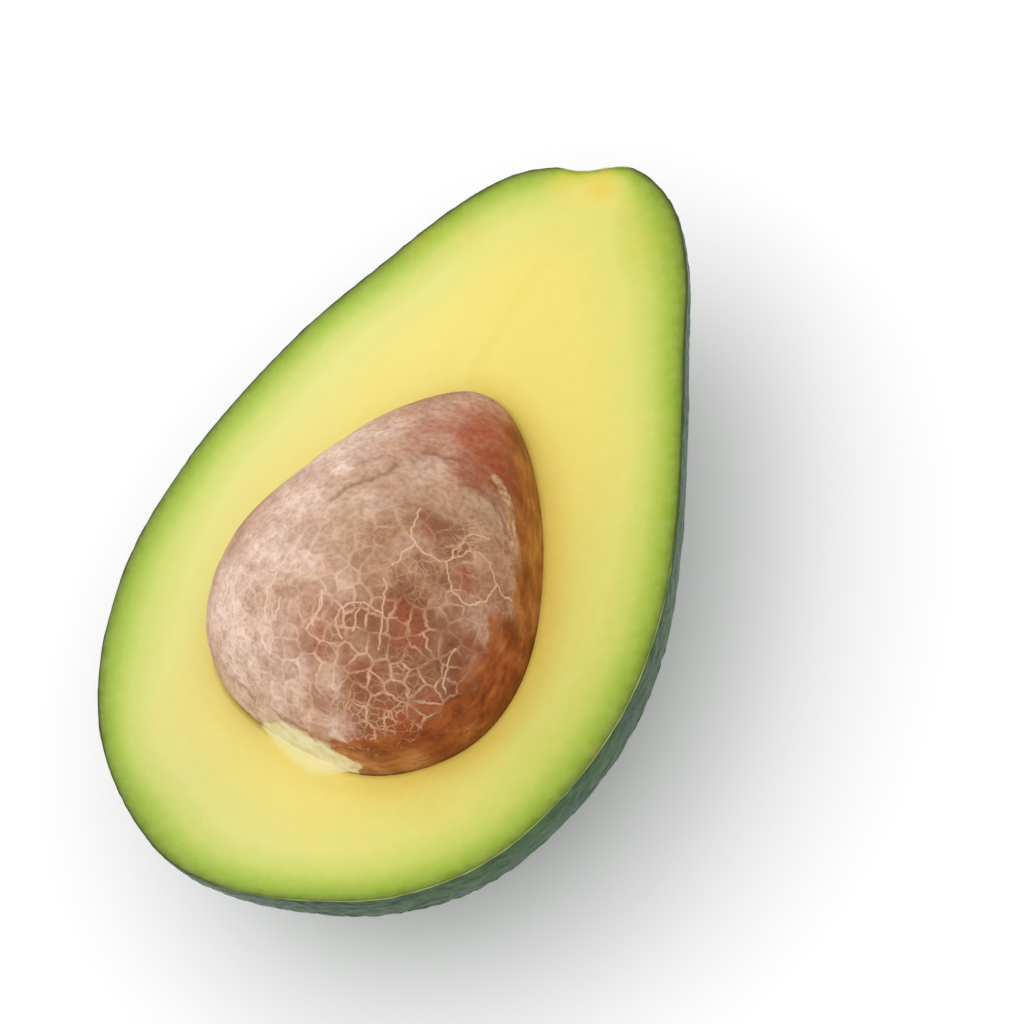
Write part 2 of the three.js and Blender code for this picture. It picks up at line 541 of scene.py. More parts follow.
def makeFlesh(material, innerWall):
    columns = flesh["columns"]
    levels = sum(flesh[k] for k in ("hollowRings", "lipRings", "faceRings", "wallRings"))
    shared = [fleshColumn(math.tau * i / columns, innerWall) for i in range(columns)]
    samples = flesh["rimSamples"]
    rimTree = KDTree(samples)
    for i in range(samples):
        rimTree.insert(outlineAt(i / samples).to_3d(), i)
    rimTree.balance()
    wander, streakReach, streakStrength = flesh["streakLook"]
    streakTree = strokeTree([[Vector((x, y, 0)) for x, y in flesh["streak"]]], wander, Vector)
    bm = bmesh.new()
    bmesh.ops.create_uvsphere(bm, u_segments=columns, v_segments=levels, radius=1)
    layers = {name: bm.verts.layers.float.new(name)
              for name in ("rimDistance", "seedDistance", "pale", "stain", "rightSide", "shade")}
    for vertex in bm.verts:
        x, y, z = vertex.co
        level = round(math.acos(max(-1, min(1, z))) / math.pi * levels)
        column = shared[round(math.atan2(y, x) / math.tau * columns) % columns]
        point = fleshPlace(level, column, innerWall)
        vertex.co = place(point)
        flat = Vector((point.x, point.y, 0))
        away = (flat - column["centre"]).length - column["seedEdge"]
        near = flat + 1.2 * noise.noise_vector(flat / 2.5)
        streak = streakStrength * ease(streakReach, 0, streakTree.find(flat)[2])
        narrow = 1 - wash(flesh["wideGreen"], flat.x, flat.y)
        narrow += wash(flesh["yellowNotch"], flat.x, flat.y)
        vertex[layers["rimDistance"]] = rimTree.find(flat)[2] * narrow
        vertex[layers["seedDistance"]] = away
        width = column["fillet"]
        vertex[layers["pale"]] = ease(1.4, 0.1, away / width) if width > 0.1 else 0
        vertex[layers["stain"]] = max(streak, wash(flesh["stains"], near.x, near.y))
        # masks for painted shade: the right side and the lower left of the cut face are darkened in the
        # material
        vertex[layers["rightSide"]] = ease(-24, 20, flat.x + 0.25 * flat.y)
        vertex[layers["shade"]] = wash(flesh["shade"], flat.x, flat.y)
    bmesh.ops.recalc_face_normals(bm, faces=bm.faces)
    finishPiece(bm, "avocadoFlesh", "flesh", material)


def rounded(stroke):
    # the same stroke with its corners cut twice
    for _ in range(2):
        cut = [stroke[0]]
        for start, end in zip(stroke, stroke[1:]):
            cut += [start.lerp(end, 0.25), start.lerp(end, 0.75)]
        stroke = cut + [stroke[-1]]
    return stroke


def strokeTree(strokes, wave, settle):
    # points every tenth of a millimetre along each stroke, which wanders a little and is then
    # settled on its surface again
    spots = []
    for stroke in map(rounded, strokes):
        for start, end in zip(stroke, stroke[1:]):
            steps = max(2, int((end - start).length / 0.1))
            spots += [start.lerp(end, i / steps) for i in range(steps + 1)]
    tree = KDTree(len(spots))
    for i, spot in enumerate(spots):
        wander = noise.noise_vector(spot / 1.3) + 0.5 * noise.noise_vector(spot / 0.5)
        tree.insert(settle(spot + wave * wander), i)
    tree.balance()
    return tree


# Ripe avocado flesh, cut with a knife: moist, oily and a little translucent. It gives the eye a
# soft satin yellow that turns green over the last few millimetres before the peel.
def fleshMaterial():
    material, tree = newMaterial("fresh cut avocado flesh")
    here = addNode(tree, "TexCoord", output=3)
    layer = {name: addNode(tree, "Attribute", attribute_name=name, output=2)
             for name in ("rimDistance", "seedDistance", "pale", "stain", "rightSide", "shade")}
    slow = addNode(tree, "TexNoise", {"Vector": here, "Scale": 1 / (20 * mm), "Detail": 0})
    fine = addNode(tree, "TexNoise", {"Vector": here, "Scale": 1 / (1.2 * mm), "Detail": 4})
    stretch = addNode(tree, "MapRange", {"Value": slow, 1: 0.3, 2: 0.7, 3: 0.9, 4: 1.1})
    depth = addNode(tree, "Math", {0: layer["rimDistance"], 1: stretch}, operation="MULTIPLY")
    share = addNode(tree, "Math", {0: depth, 1: flesh["bandDepth"]}, operation="DIVIDE", use_clamp=True)
    colour = addNode(tree, "ValToRGB", {"Fac": share}, stops=[
        (mark / flesh["bandDepth"], code) for mark, code in flesh["bands"]
    ])
    # painted shade: the right side and the lower left of the cut face are darkened, as if less lit than
    # the upper left
    rightSideShade = addNode(tree, "MapRange", {"Value": layer["rightSide"], 3: 0.0, 4: 0.6})
    for share, code in ((layer["shade"], "#DFE2D8"), (rightSideShade, "#EBE9AA")):
        colour = addNode(tree, "Mix", {0: share, 6: colour, 7: hexColour(code)},
                         **colourMix, blend_type="MULTIPLY")
    # a deeper orange yellow round the seed on its right side: partly the flesh's own colour near the
    # seed, partly painted shade from the seed
    halo = addNode(tree, "MapRange", {"Value": layer["rightSide"], 3: 0.25, 4: 0.75})
    nearSeed = addNode(tree, "MapRange", {
        "Value": layer["seedDistance"], 1: 0.0, 2: 4.5, 3: 1.0, 4: 0.0,
    })
    haloShare = addNode(tree, "Math", {0: halo, 1: nearSeed}, operation="MULTIPLY")
    # painted shadow: a thin olive brown line in the flesh where it meets the seed, strongest on the
    # left
    least = addNode(tree, "MapRange", {"Value": layer["rightSide"], 3: 0.75, 4: 0.3})
    contactShadow = addNode(tree, "MapRange", {
        "Value": layer["seedDistance"], 1: 0.1, 2: 0.75, 3: least, 4: 0.0,
    })
    stainShare = addNode(tree, "Math", {0: layer["stain"], 1: 0.6}, operation="MULTIPLY")
    threads = addNode(tree, "VectorMath", {0: here, 1: (1, 0.1, 1)}, operation="MULTIPLY")
    grain = addNode(tree, "TexNoise", {"Vector": threads, "Scale": 1 / (2.4 * mm), "Detail": 2})
    inward = addNode(tree, "MapRange", {"Value": layer["rimDistance"], 1: 3.0, 2: 9.0, 3: 0.0, 4: 0.15})
    grainShare = addNode(tree, "MapRange", {"Value": grain, 1: 0.4, 2: 0.7, 3: 0.0, 4: inward})
    mottle = addNode(tree, "MapRange", {"Value": fine, 1: 0.35, 2: 0.7, 3: 0.0, 4: 0.08})
    overlays = (
        (haloShare, "#E2BE48"), (contactShadow, "#A5852C"), (stainShare, "#DDBC30"),
        (grainShare, "#E9CF6A"), (mottle, "#F6EFA4"), (layer["pale"], "#EADEA4"),
    )
    for share, code in overlays:
        colour = addNode(tree, "Mix", {0: share, 6: colour, 7: hexColour(code)}, **colourMix)
    rough = addNode(tree, "MapRange", {"Value": fine, 1: 0.3, 2: 0.7, 3: 0.42, 4: 0.55})
    bump = addNode(tree, "Bump", {"Strength": 0.25, "Distance": 0.06 * mm, "Height": fine})
    shader = addNode(tree, "BsdfPrincipled", {
        "Base Color": colour, "Roughness": rough, "Normal": bump, "IOR": 1.4,
        "Specular IOR Level": 0.25,
        "Subsurface Weight": 0.15, "Subsurface Radius": (1.0 * mm, 0.7 * mm, 0.25 * mm),
        "Subsurface Scale": 1.0,
    })
    addNode(tree, "OutputMaterial", {"Surface": shader})
    return material


# the seed's surface: its lumps, its papery coat and where that has come off
coat = {
    "coarse": 6,             # icosphere level; the part above the cut is then cut into 16 for each face
    "fineAbove": -0.08,
    "fineCuts": 3,
    "lumps": [(14, 0.4), (6, 0.14), (2.2, 0.05), (0.8, 0.015)],      # size and height in mm
    "thickness": 0.14,       # mm that the surface drops where the coat is gone
    "seat": 3.0,             # mm above the cut over which the lumps set in
    "veinReach": 0.34,
    "creaseWidth": 0.36,
    "creaseDepth": 0.12,
    "strokeWander": 0.4,     # mm that veins and creases stray from their strokes
    "netCells": [            # size and vein width in mm of the two nets, with the wash that shows each
        (2.7, 0.18, "net"), (1.3, 0.1, "fineNet"),
    ],
    "veinLine": (0.04, 0.2), # mm from a vein's middle where it starts to fade and where it ends
    "netBend": 1.5,          # mm by which the nets are bent
    "paleEdgeWidth": (1.0, 0.3),             # mm from its stroke where it ends and where it is full
    "contactShadeHeight": 3,          # mm above the cut over which the seed is darkened as painted shade by the flesh
    "warmFade": (6, 2),      # heights in mm between which golden and peach set in downwards
    "bareEdge": (3, 1.5),    # softness and raggedness in mm of the edge, as for the torn patch
    "tornEdge": (1.5, 0.8),
    "maskEdges": {           # shred's pull on each edge, and the range over which it turns
        "bare": (1.7, 1.14, 1.6), "torn": (0.9, 0.7, 1.3),
    },
    "bareTop": [             # bearing, height in mm of the band that has lost its coat
        (-180, 0.4), (-112, 0.4), (-100, 1), (-88, 4.5), (-80, 6.6), (-71, 8.8), (-56, 9.4),
        (-47, 9.8), (-36, 9.8), (-30, 10), (-21, 9.6), (-15, 9.4), (-11, 8.6), (-5, 6.8), (3, 7.5),
        (19, 7.4), (34, 7.8), (54, 7.7), (69, 5.5), (82, 3.0), (92, 0.8), (180, 0.4),
    ],
    "tornTop": [             # bearing, height in mm of the torn pale patch
        (-180, -2), (-111, -2), (-107, 3.6), (-97, 6.6), (-88, 6.3), (-82, 5.2), (-78.5, 3),
        (-74, -2), (180, -2),
    ],
    # dabs of colour along the seed's own axes: x, y, reach in mm, strength
    # the coat's pale pinkish bloom, made stronger on the seed's left and upper side as a painted
    # highlight
    "bloomAndHighlight": [
        (-13, -13.9, 7, 1), (-9.3, -8.5, 7, 1), (-8.3, -2, 7, 1), (-10, -20.2, 6, 0.9),
        (-3.3, -16.7, 5, 0.6), (-9, 8, 8, 0.9), (-4, 14, 5, 0.6), (-6, 5.3, 3.5, 1), (4.5, 9, 3, 0.5),
        (-1, -6, 5, 0.4), (-1, 19, 4, 0.4), (1, 22.5, 3.5, 0.4), (-4, -8.5, 5, 0.9), (1, 1, 3.5, 0.5),
        (-4.5, 6, 3.5, 0.6), (4.2, -21.5, 2.5, 0.4), (-1.5, 6.5, 3.5, 0.4), (3, 8, 4, 0.4),
        (17.5, -6.3, 2.5, 0.2), (-6.5, 12, 4, 0.9), (8.1, -2.4, 2, 0.3), (2, 14, 2.5, 0.4),
        (-4, -24, 4, 0.9), (-1, -21, 4, 0.8), (-6, -20, 5, 0.9), (4.6, -25, 2.5, 0.7),
        (2.5, -11, 3.5, 0.5),
    ],
    "tan": [
        (-0.4, 0.8, 5, 0.9), (11.9, 7.2, 4, 0.9), (5, 5, 5, 0.7), (6.5, -5, 3, 0.7), (2.5, -6, 4, 0.7),
        (14.5, 2, 3, 0.45), (6, -1, 3, 0.4), (7, -9, 3, 0.4), (8.6, -16.5, 2.5, 0.5),
    ],
    "peach": [(6, -25.2, 3.4, 1), (9.2, -26.2, 2.6, 0.6), (13.6, -23.2, 2.2, 0.6)],
    "dusk": [
        (8.3, 15, 5, 0.9), (5, 17.3, 5, 0.9), (0.2, 14.9, 4.5, 0.6), (3.2, 20.5, 4.5, 0.8),
        (8.5, 11, 3, 0.6), (-4, 17, 4, 0.4), (-3, 11, 3, 0.3), (2, 12.5, 3, 0.4),
    ],
    "umber": [
        (10, 1.3, 3, 0.9), (10.3, -4.4, 2, 0.7), (11.5, -9.5, 4, 1), (6.7, -13.5, 2.6, 0.9),
        (12, -15.8, 4, 0.9), (5, -18, 3, 0.4), (9.6, -20, 4, 0.8), (13.5, -18.5, 4, 0.9),
        (7, -20.5, 3, 0.4),
        (16.5, -13, 5, 1), (-8.5, -24.2, 1.6, 0.7), (7.6, -23.3, 3, 0.7), (15.5, -8.5, 4, 0.8),
        (13.5, -5, 4, 0.6), (10, 13.5, 3.5, 0.6), (12, 10, 3, 0.4), (11.8, -0.4, 2.5, 0.8),
        (19, -10, 3, 0.9), (13, -7, 9, 0.35), (9.5, 0, 8, 0.2), (15.5, -17, 3.5, 0.8),
    ],
    "rust": [
        (14.6, -2.5, 1.0, 1), (2.1, -17.8, 1.6, 0.9), (12.4, -13.5, 2, 0.7), (9.5, -21, 4, 0.5),
        (12.5, -21.5, 3.5, 0.9), (9, 0, 2, 0.4), (15.6, -3.8, 2, 0.5), (4.6, -14.5, 2, 0.4),
        (6.5, -23.8, 2.5, 0.7), (11.5, -11, 2.2, 0.6), (5.6, 18.9, 3, 0.5), (9.5, 14.5, 3.5, 0.7),
        (19, -9.5, 2.5, 0.6),
    ],
    "golden": [
        (19, 6, 6, 0.9), (17, 10, 7, 1), (12, 16, 6, 0.8), (6, -26, 4, 0.5), (13, -24.5, 4.5, 0.7),
    ],
    "net": [
        (9.2, -19.2, 8, 1), (6.7, -13.5, 5.5, 1), (12.4, -13.5, 5.5, 0.9), (2.1, -19.5, 6, 1),
        (14.5, -17, 5, 0.9), (-8, -16, 8, 0.65), (-3, -9, 6, 0.65), (13, 1, 5, 0.7), (15, -6, 5, 0.6),
        (4, -3, 6, 0.5), (-3, -21, 5, 0.7), (3, -10, 5.5, 0.8), (-9, -4, 9, 0.3),
    ],
    "fineNet": [
        (7.6, -23.3, 3.2, 1), (12.3, -21.6, 3, 1), (-8.5, -24.2, 3, 1), (13, 2.6, 2.2, 1),
        (-10, -18, 6, 0.8), (12.5, -16.5, 3, 0.6), (4.5, -16.5, 3.5, 0.6), (-9, -8, 8, 0.4),
        (1, -6, 6, 0.4), (10, -5, 5, 0.5),
    ],
    "veins": [               # the few long veins that stand out
        [(12.7, -2.7), (14.0, -5.0), (15.5, -6.2), (16.9, -5.1), (17.6, -2.9), (17.2, -0.4),
         (15.8, 1.1), (14.2, 1.3), (13.1, -0.3), (12.7, -2.3)],
        [(7.7, -8.1), (8.7, -11.4), (9.2, -13.8), (9.7, -15.9)],
        [(4.0, -14.5), (4.3, -12.8), (5.8, -11.9), (7.1, -11.5), (8.6, -12.2)],
        [(6.1, -12.3), (6.3, -15.1)],
        [(3.9, -14.9), (5.2, -16.6)],
        [(-5.6, -11.0), (-6.1, -13.7), (-5.8, -16.1), (-5.6, -17.5)],
        [(1.1, -12.2), (1.4, -14.6), (1.4, -16.3)],
        [(6.7, 2.7), (7.5, -0.5), (8.6, -2.5), (10.3, -2.7), (11.7, -2.8), (12.7, -2.4)],
        [(8.6, -2.5), (7.9, -4.6), (7.6, -6.4)],
        [(12.5, -2.0), (12.5, 0.1), (12.5, 2.4), (13.2, 3.4), (14.2, 4.0)],
        [(17.5, -1.1), (18.4, -1.8), (19.2, -1.3)],
        [(16.2, -15.0), (16.7, -13.0), (17.1, -11.3)],
        [(16.3, -14.9), (16.9, -16.5)],
        [(-11.7, -15.0), (-10.6, -18.7)],
        [(-14.2, -12.4), (-13.4, -15.0)],
        [(-4.2, -14.4), (-3.9, -16.8)],
        [(0.8, -12.0), (1.6, -13.4), (1.4, -14.8), (0.6, -16.9)],
        [(-5.2, -8.8), (-5.7, -10.4), (-6.8, -11.3)],
    ],
    "creases": [
        [(-3.6, -0.5), (-3.0, 1.5), (-1.9, 3.2), (-0.2, 4.6), (0.7, 6.7), (0.8, 7.9)],
        [(2.4, 11.2), (4.3, 12.0), (6.3, 12.5), (7.3, 12.6)],
        [(8.4, 9.0), (9.4, 9.6), (10.6, 9.7), (11.7, 9.4), (13.6, 8.0), (15.2, 6.4), (16.4, 3.9)],
        [(-3.9, -25.0), (-1.2, -25.3), (1.3, -25.3)],
        [(-11.6, -22.3), (-10.1, -23.3), (-7.7, -24.1)],
    ],
    "paleEdge": [
        [(10.3, 12.7), (12.4, 11.1), (14.0, 9.4), (14.9, 8.0), (15.8, 6.0)],
    ],
}


def makeSeed(material):
    bm = bmesh.new()
    bmesh.ops.create_icosphere(bm, subdivisions=coat["coarse"], radius=1)
    edges = [e for e in bm.edges if min(v.co.z for v in e.verts) > coat["fineAbove"]]
    bmesh.ops.subdivide_edges(bm, edges=edges, cuts=coat["fineCuts"], use_grid_fill=True)
    coatMap = bm.verts.layers.float_vector.new("coatMap")
    for vertex in bm.verts:
        unit = vertex.co.normalized()
        fromTop = math.acos(max(-1, min(1, unit.z)))
        spread = fromTop / max(1e-4, math.sin(fromTop)) * mm
        width = seed["halfWidth"] * (1 - seed["taper"] * unit.y)
        vertex[coatMap] = (unit.x * width * spread, unit.y * seed["halfLength"] * spread, 0)
        vertex.co = seedPoint(unit)
    bm.normal_update()
    trees = {}
    for name in ("veins", "creases", "paleEdge"):
        strokes = [[onSeed(x, y) for x, y in stroke] for stroke in coat[name]]
        trees[name] = strokeTree(strokes, coat["strokeWander"],
                                 lambda spot: onSeed(*seedLocal(spot).xy))
    washes = ("bloomAndHighlight", "tan", "dusk", "umber", "rust", "golden", "peach", "net", "fineNet")
    layers = {name: bm.verts.layers.float.new(name)
              for name in washes + ("bare", "torn", "veins", "creases", "paleEdge", "low")}
    offset = bm.verts.layers.float_vector.new("veinOffset")
    for vertex in bm.verts:
        point = vertex.co.copy()
        local = seedLocal(point)
        bearing = math.degrees(math.atan2(local.y, local.x))
        ragged = noise.noise(point / 2.6)
        tornBearing = bearing + 5 * noise.noise(point / 2.1 + Vector((0, 0, 9)))
        soft, uneven = coat["bareEdge"]
        bare = ease(soft, -soft, point.z - alongPairs(coat["bareTop"], bearing) - uneven * ragged)
        soft, uneven = coat["tornEdge"]
        torn = ease(soft, -soft, point.z - alongPairs(coat["tornTop"], tornBearing) - uneven * ragged)
        covered = (1 - ease(0.4, 0.7, bare)) * (1 - ease(0.4, 0.7, torn))
        drift = 1.3 * noise.noise_vector(point / 4.5) + 0.5 * noise.noise_vector(point / 1.5)
        for name in washes:
            vertex[layers[name]] = wash(coat[name], local.x + drift.x, local.y + drift.y)
        warm = ease(*coat["warmFade"], point.z)
        vertex[layers["golden"]] *= 0.2 + 0.8 * warm
        vertex[layers["peach"]] *= warm
        nearest, _, away = trees["veins"].find(point)
        vein = covered * ease(coat["veinReach"], coat["veinReach"] * 0.6, away)
        # the crease mask: a groove in the shape, also darkened in colour as painted shade in the fold
        crease = ease(coat["creaseWidth"] * 1.6, 0.05, trees["creases"].find(point)[2])
        paleEdge = covered * ease(*coat["paleEdgeWidth"], trees["paleEdge"].find(point)[2])
        lift = sum(height * noise.noise(point / size) for size, height in coat["lumps"])
        lift -= coat["creaseDepth"] * crease + coat["thickness"] * max(bare, torn)
        # the seed keeps its plain shape where it sits in the flesh, so that the two meet closely
        lift *= ease(0, coat["seat"], abs(point.z))
        vertex.co = place(point + vertex.normal * lift)
        vertex[layers["bare"]] = bare
        vertex[layers["torn"]] = torn
        vertex[layers["veins"]] = vein
        vertex[offset] = (nearest - point) * mm
        # painted shade: the seed darkens towards where it meets the flesh
        low = ease(coat["contactShadeHeight"], 0, point.z)
        vertex[layers["low"]] = low * (1 - torn) * (1 - 0.8 * vertex[layers["golden"]])
        vertex[layers["creases"]] = crease
        vertex[layers["paleEdge"]] = paleEdge
    bmesh.ops.recalc_face_normals(bm, faces=bm.faces)
    finishPiece(bm, "avocadoSeed", "seed", material)


# Avocado seed in its papery coat, fresh from the fruit: dry bark-like brown with a pale pinkish
# bloom, made brighter on the left and upper side as a painted highlight, a net of straw-coloured
# veins, and a glossier orange brown where the coat has come off.
def seedMaterial():
    material, tree = newMaterial("papery coat of an avocado seed")
    here = addNode(tree, "TexCoord", output=3)
    names = ("bloomAndHighlight", "tan", "dusk", "umber", "rust", "golden", "peach", "net", "fineNet", "bare",
             "torn", "veins", "creases", "paleEdge", "low")
    layer = {name: addNode(tree, "Attribute", attribute_name=name, output=2) for name in names}
    blotch = addNode(tree, "TexNoise", {"Vector": here, "Scale": 1 / (3.5 * mm), "Detail": 5})
    cloud = addNode(tree, "TexNoise", {"Vector": here, "Scale": 1 / (2.0 * mm), "Detail": 5,
                                       "Roughness": 0.55})
    fine = addNode(tree, "TexNoise", {"Vector": here, "Scale": 1 / (0.7 * mm), "Detail": 4})

    # the coat: blotched brown with washes of other tones
    colour = addNode(tree, "ValToRGB", {"Fac": blotch}, stops=[
        (0.32, "#946346"), (0.5, "#AF7F5F"), (0.7, "#C99E80"),
    ])
    thin = addNode(tree, "MapRange", {"Value": cloud, 1: 0.3, 2: 0.62, 3: 0.5, 4: 1.0})
    thick = addNode(tree, "MapRange", {"Value": cloud, 1: 0.42, 2: 0.7, 3: 1.0, 4: 0.55})
    # the bloom wash is the coat's pale bloom and also a painted highlight on the seed's left and upper
    # side
    washes = (
        ("dusk", thick, "#B05A34"), ("tan", thin, "#C4A585"), ("umber", thick, "#78452A"),
        ("rust", thick, "#9E421E"), ("bloomAndHighlight", thin, "#EDD3C3"),
    )
    for name, cover, code in washes:
        share = addNode(tree, "Math", {0: layer[name], 1: cover}, operation="MULTIPLY")
        colour = addNode(tree, "Mix", {0: share, 6: colour, 7: hexColour(code)}, **colourMix)
    shade = addNode(tree, "ValToRGB", {"Fac": fine}, stops=[(0.34, "#E3D9D1"), (0.6, "#FFFFFF")])
    colour = addNode(tree, "Mix", {0: 1.0, 6: colour, 7: shade},
                     **colourMix, blend_type="MULTIPLY")

    # bent coordinates, so that the net of veins has no straight run
    bend = addNode(tree, "TexNoise", {"Vector": here, "Scale": 1 / (1.3 * mm), "Detail": 4}, output=1)
    centred = addNode(tree, "VectorMath", {0: bend, 1: (-0.5, -0.5, -0.5)}, operation="ADD")
    shift = addNode(tree, "VectorMath", {0: centred, 3: coat["netBend"] * mm}, operation="SCALE")
    bentPlace = addNode(tree, "VectorMath", {0: here, 1: shift}, operation="ADD")
    coatMap = addNode(tree, "Attribute", attribute_name="coatMap", output=1)
    bentMap = addNode(tree, "VectorMath", {0: shift, 1: coatMap}, operation="ADD")
    patches = addNode(tree, "TexNoise", {"Vector": here, "Scale": 1 / (2.2 * mm), "Detail": 3})
    faint = addNode(tree, "MapRange", {"Value": patches, 1: 0.36, 2: 0.58, 3: 0.3, 4: 1.0})
    swell = addNode(tree, "MapRange", {"Value": fine, 1: 0.3, 2: 0.7, 3: 0.7, 4: 1.5})

    # each cell between the veins has its own tone
    cellSize = coat["netCells"][0][0]
    cells = addNode(tree, "TexVoronoi", {"Vector": bentMap, "Scale": 1 / (cellSize * mm)},
                    output=1, voronoi_dimensions="2D")
    cellTone = addNode(tree, "MapRange", {"Value": cells, 1: 0.3, 2: 0.7, 3: 0.0, 4: 0.55})
    cellTone = addNode(tree, "Math", {0: cellTone, 1: layer["net"]}, operation="MULTIPLY")
    colour = addNode(tree, "Mix", {0: cellTone, 6: colour, 7: hexColour("#885434")}, **colourMix)
    lines = []
    for cell, width, name in coat["netCells"]:
        walls = addNode(tree, "TexVoronoi", {"Vector": bentMap, "Scale": 1 / (cell * mm)},
                        feature="DISTANCE_TO_EDGE", voronoi_dimensions="2D")
        walls = addNode(tree, "Math", {0: walls, 1: swell}, operation="MULTIPLY")
        line = addNode(tree, "MapRange", {
            "Value": walls, 1: 0.3 * width / cell, 2: 1.7 * width / cell, 3: 1.0, 4: 0.0,
        })
        lines.append(addNode(tree, "Math", {0: line, 1: layer[name]}, operation="MULTIPLY"))
    offset = addNode(tree, "Attribute", attribute_name="veinOffset", output=1)
    away = addNode(tree, "VectorMath", {0: offset}, output=1, operation="LENGTH")
    away = addNode(tree, "Math", {0: away, 1: swell}, operation="MULTIPLY")
    full, gone = coat["veinLine"]
    line = addNode(tree, "MapRange", {"Value": away, 1: full * mm, 2: gone * mm, 3: 1.0, 4: 0.0})
    lines.append(addNode(tree, "Math", {0: line, 1: layer["veins"]}, operation="MULTIPLY"))
    net = addNode(tree, "Math", {0: lines[0], 1: lines[1]}, operation="MAXIMUM")
    net = addNode(tree, "Math", {0: net, 1: faint}, operation="MULTIPLY")
    net = addNode(tree, "Math", {0: net, 1: lines[2]}, operation="MAXIMUM")
    netShare = addNode(tree, "Math", {0: net, 1: 0.8}, operation="MULTIPLY")
    netColour = addNode(tree, "Mix", {
        0: layer["bloomAndHighlight"], 6: hexColour("#DEB48F"), 7: hexColour("#F5E0D0"),
    }, **colourMix)
    colour = addNode(tree, "Mix", {0: netShare, 6: colour, 7: netColour}, **colourMix)
    pale = addNode(tree, "MapRange", {"Value": fine, 1: 0.25, 2: 0.65, 3: 0.0, 4: layer["paleEdge"]})
    paleShare = addNode(tree, "Math", {0: pale, 1: 0.8}, operation="MULTIPLY")
    colour = addNode(tree, "Mix", {0: paleShare, 6: colour, 7: hexColour("#D6B58C")}, **colourMix)

    # under the coat
    drawnOut = addNode(tree, "VectorMath", {0: bentPlace, 1: (0.55, 0.55, 1.5)}, operation="MULTIPLY")
    shred = addNode(tree, "TexNoise", {"Vector": drawnOut, "Scale": 1 / (1.5 * mm), "Detail": 6})
    bareColour = addNode(tree, "ValToRGB", {"Fac": blotch}, stops=[
        (0.3, "#733012"), (0.5, "#974A20"), (0.7, "#B56E3A"),
    ])
    tints = (("rust", 0.7, "#933814"), ("golden", 0.8, "#B67A34"), ("peach", 0.8, "#D69E69"))
    for name, most, code in tints:
        share = addNode(tree, "Math", {0: layer[name], 1: most}, operation="MULTIPLY")
        bareColour = addNode(tree, "Mix", {0: share, 6: bareColour, 7: hexColour(code)}, **colourMix)
    streaks = addNode(tree, "ValToRGB", {"Fac": shred}, stops=[(0.36, "#C2AA9C"), (0.6, "#FFFFFF")])
    bareColour = addNode(tree, "Mix", {0: 0.8, 6: bareColour, 7: streaks},
                         **colourMix, blend_type="MULTIPLY")
    # the veins hold on a little longer than the coat between them
    held = addNode(tree, "Math", {0: net, 1: -0.5, 2: layer["bare"]}, operation="MULTIPLY_ADD")
    masks = {}
    for name, edge in (("bare", held), ("torn", layer["torn"])):
        pull, low, high = coat["maskEdges"][name]
        raised = addNode(tree, "Math", {0: shred, 1: pull, 2: edge}, operation="MULTIPLY_ADD")
        masks[name] = addNode(tree, "MapRange", {"Value": raised, 1: low, 2: high, 3: 0.0, 4: 1.0})
    colour = addNode(tree, "Mix", {0: masks["bare"], 6: colour, 7: bareColour}, **colourMix)
    tornColour = addNode(tree, "ValToRGB", {"Fac": cloud}, stops=[
        (0.35, "#D6C795"), (0.6, "#E6DCB4"),
    ])
    colour = addNode(tree, "Mix", {0: masks["torn"], 6: colour, 7: tornColour}, **colourMix)
    # painted shade: the creases are darkened in their folds, and the seed's foot where it meets the
    # flesh
    for name, most, code in (("creases", 0.45, "#70452F"), ("low", 0.5, "#62401C")):
        share = addNode(tree, "Math", {0: layer[name], 1: most}, operation="MULTIPLY")
        colour = addNode(tree, "Mix", {0: share, 6: colour, 7: hexColour(code)}, **colourMix)

    rough = addNode(tree, "MapRange", {"Value": masks["bare"], 3: 0.62, 4: 0.45})
    relief = addNode(tree, "Math", {0: fine, 1: 0.3, 2: net}, operation="MULTIPLY_ADD")
    relief = addNode(tree, "Math", {0: relief, 1: cloud}, operation="ADD")
    bump = addNode(tree, "Bump", {"Strength": 0.7, "Distance": 0.08 * mm, "Height": relief})
    shader = addNode(tree, "BsdfPrincipled", {
        "Base Color": colour, "Roughness": rough, "Normal": bump, "IOR": 1.45,
        "Specular IOR Level": 0.22,
    })
    addNode(tree, "OutputMaterial", {"Surface": shader})
    return material


# the floor and the light
stage = {
    "size": 16,              # m
    "floorColour": "#FAFAFA",
    "fleckSize": 400,        # mm, the faint change in how matt the paper is
    "worldStrength": 0.93,
    "lamps": [               # power in watts, size and distance in m, direction
        (2.0, 1.0, 0.9, (-0.52, 0.05, 0.84)),
        (1.2, 0.9, 0.9, (0.28, -0.5, 0.82)),
    ],
}


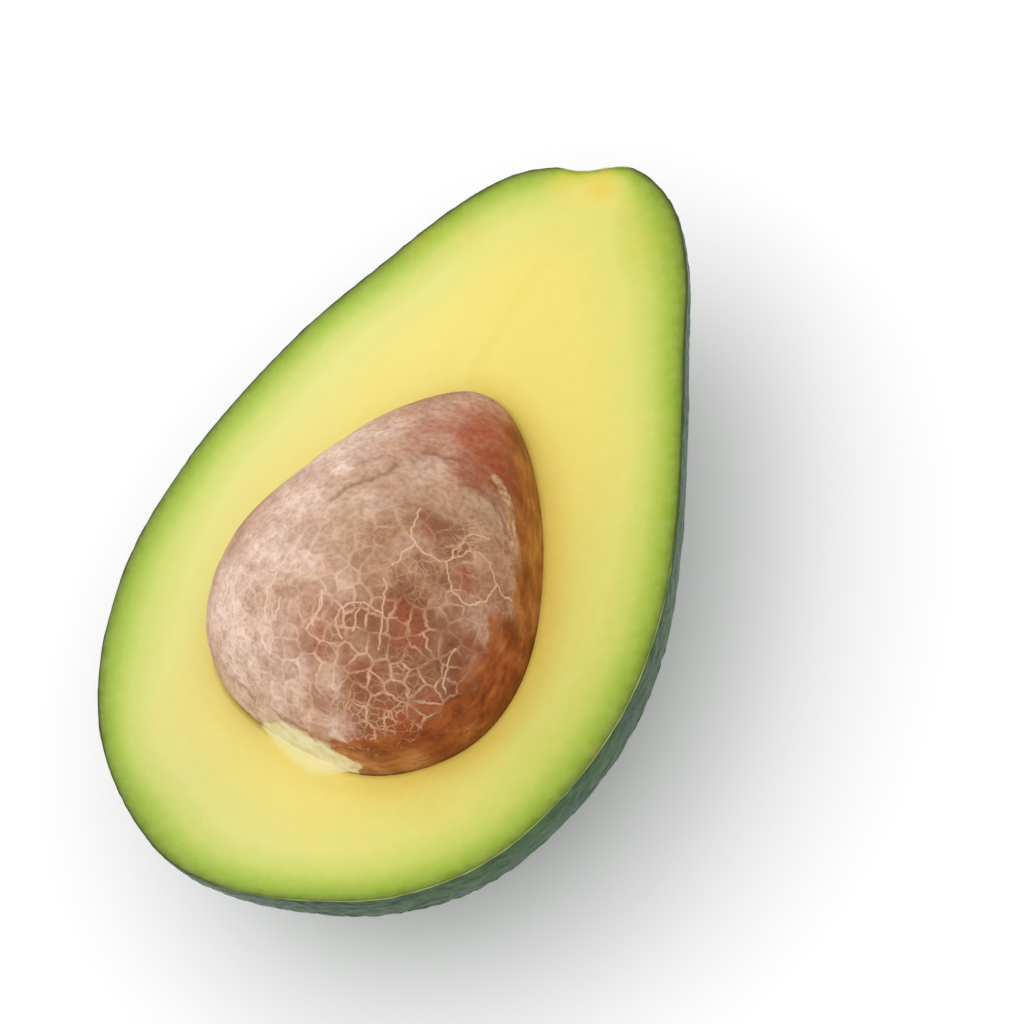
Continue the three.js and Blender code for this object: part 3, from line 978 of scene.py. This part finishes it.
def makeStage():
    # matt white paper floor, flat: no pattern of its own, only the soft shadow
    material, tree = newMaterial("matt white paper floor")
    here = addNode(tree, "TexCoord", output=3)
    fleck = addNode(tree, "TexNoise", {
        "Vector": here, "Scale": 1 / (stage["fleckSize"] * mm), "Detail": 2,
    })
    rough = addNode(tree, "MapRange", {"Value": fleck, 3: 0.8, 4: 0.95})
    shader = addNode(tree, "BsdfPrincipled", {
        "Base Color": hexColour(stage["floorColour"]), "Roughness": rough, "Specular IOR Level": 0.2,
    })
    addNode(tree, "OutputMaterial", {"Surface": shader})
    bm = bmesh.new()
    bmesh.ops.create_grid(bm, x_segments=8, y_segments=8, size=stage["size"] / 2)
    mesh = bpy.data.meshes.new("floor")
    bm.to_mesh(mesh)
    bm.free()
    mesh.materials.append(material)
    floor = bpy.data.objects.new("floor", mesh)
    scene.collection.objects.link(floor)


def makeLight():
    world = bpy.data.worlds.new("pale studio")
    scene.world = world
    world.use_nodes = True
    background = world.node_tree.nodes["Background"]
    background.inputs["Color"].default_value = (1, 1, 1, 1)
    background.inputs["Strength"].default_value = stage["worldStrength"]
    for power, size, distance, direction in stage["lamps"]:
        lamp = bpy.data.lights.new("softbox", "AREA")
        lamp.energy = power
        lamp.size = size
        holder = bpy.data.objects.new("softbox", lamp)
        towards = Vector(direction).normalized()
        holder.location = Vector((0, 0, cutHeight * mm)) + towards * distance
        holder.rotation_mode = "QUATERNION"
        holder.rotation_quaternion = (-towards).to_track_quat("-Z", "Y")
        scene.collection.objects.link(holder)
    scene.view_settings.view_transform = "Standard"


camera = {
    "target": (10.07, 10.94, 28.25),         # mm, as the distance, the lens and the sensor
    "azimuth": 52.5,         # degrees, as the elevation and the roll
    "elevation": 59,
    "roll": -30,
    "distance": 750,
    "lens": 210.9,
    "sensor": 36,
}


def makeCamera():
    data = bpy.data.cameras.new("camera")
    data.lens = camera["lens"]
    data.sensor_width = camera["sensor"]
    data.clip_start = 0.01
    eye = bpy.data.objects.new("camera", data)
    azimuth, elevation = math.radians(camera["azimuth"]), math.radians(camera["elevation"])
    back = Vector((math.sin(azimuth) * math.cos(elevation), -math.cos(azimuth) * math.cos(elevation),
                   math.sin(elevation)))
    eye.location = (Vector(camera["target"]) + back * camera["distance"]) * mm
    eye.rotation_mode = "QUATERNION"
    roll = Quaternion((0, 0, 1), math.radians(camera["roll"]))
    eye.rotation_quaternion = (-back).to_track_quat("-Z", "Y") @ roll
    scene.collection.objects.link(eye)
    scene.camera = eye


makeCamera()
makeLight()
makeStage()
print("camera, light and floor made")
innerWall = makePeel(peelMaterial())
makeFlesh(fleshMaterial(), innerWall)
makeSeed(seedMaterial())
